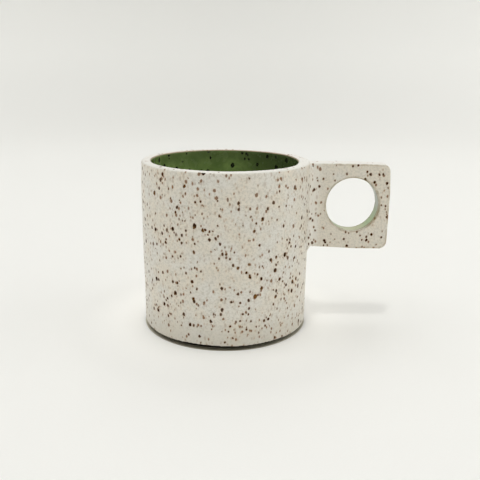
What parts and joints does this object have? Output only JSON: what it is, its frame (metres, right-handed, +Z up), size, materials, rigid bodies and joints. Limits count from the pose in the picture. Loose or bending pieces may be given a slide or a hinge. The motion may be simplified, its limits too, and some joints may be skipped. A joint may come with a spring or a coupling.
{
  "type": "mug",
  "caption": "Straight-sided stoneware mug with a flat foot and a square slab handle pierced by a round finger hole, speckled white outside and green inside.",
  "frame": {"origin": "centre of the flat foot, on the surface that the mug stands on", "axes": "+Z up through the mouth along the mug's axis, +X from the axis along the handle, +Y to the left of someone who looks along +X"},
  "size_m": [0.1274, 0.086, 0.0861],
  "materials": {
    "bare_clay": "matt dark fired stoneware",
    "slip": "matt dark fired slip",
    "white_glaze": "satin off-white with iron specks",
    "green_glaze": "gloss moss green with dark specks",
    "pale_green_glaze": "satin pale green, thin over the clay"
  },
  "bodies": {
    "root": {"base_disc": "bare_clay", "base_slip_line": "slip", "wall_cylinder": "bare_clay", "inside_seam_coil": "bare_clay", "handle_slab": "bare_clay", "handle_slip_line": "slip", "handle_coil_front": "bare_clay", "handle_coil_back": "bare_clay", "handle_coil_under": "bare_clay", "inside_glaze": "green_glaze", "outside_glaze": "white_glaze", "finger_hole_glaze": "pale_green_glaze"}
  },
  "joints": []
}
